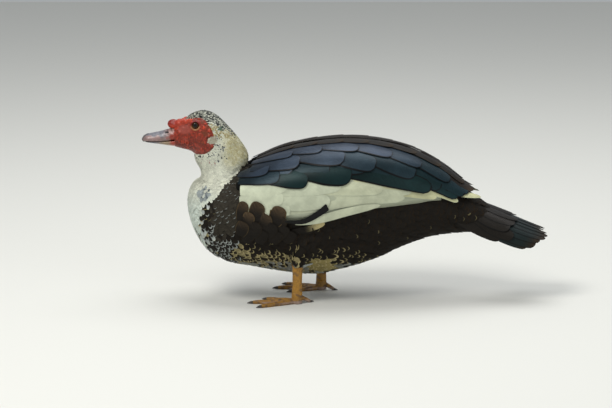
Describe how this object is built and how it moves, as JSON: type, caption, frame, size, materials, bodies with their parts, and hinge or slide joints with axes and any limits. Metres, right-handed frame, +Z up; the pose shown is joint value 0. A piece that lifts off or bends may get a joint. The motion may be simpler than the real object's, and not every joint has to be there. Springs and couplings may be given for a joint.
{
  "type": "muscovy duck",
  "caption": "Life-size standing muscovy drake at rest, neck drawn in, with red caruncles, folded wings, broad tail and webbed feet.",
  "frame": {"origin": "on the floor, under the middle of the length from bill tip to tail tip, in the middle plane", "axes": "the bird faces -X, its left side is towards -Y, +Z is up"},
  "size_m": [0.647, 0.1944, 0.3035],
  "materials": {
    "white_plumage": "soft white body feathers with a few dark flecks",
    "dark_plumage": "blackish body feathers with pale edges",
    "wing_plumage": "firm glossed dark feathers with a white covert patch",
    "tail_plumage": "firm feathers, black with a green and blue gloss",
    "red_caruncles": "bare red skin in folds and bulbs, slightly moist",
    "bill_horn": "smooth pinkish grey horn, darker at the nail",
    "dark_eye": "wet and glossy",
    "leg_skin": "mustard yellow scaled skin",
    "claw_horn": "smooth dark horn"
  },
  "bodies": {
    "root": {"head": "white_plumage", "neck_upper": "white_plumage", "neck_lower": "white_plumage", "face": "red_caruncles", "bill_upper": "bill_horn", "bill_lower": "bill_horn", "eye_left": "dark_eye", "eye_right": "dark_eye", "torso": "dark_plumage", "thigh_left": "dark_plumage", "thigh_right": "dark_plumage", "wing_left": "wing_plumage", "wing_right": "wing_plumage", "tail": "tail_plumage", "leg_left": "leg_skin", "leg_right": "leg_skin", "foot_left": "leg_skin", "foot_right": "leg_skin", "claw_left_inner": "claw_horn", "claw_left_middle": "claw_horn", "claw_left_outer": "claw_horn", "claw_left_hind": "claw_horn", "claw_right_inner": "claw_horn", "claw_right_middle": "claw_horn", "claw_right_outer": "claw_horn", "claw_right_hind": "claw_horn"}
  },
  "joints": []
}
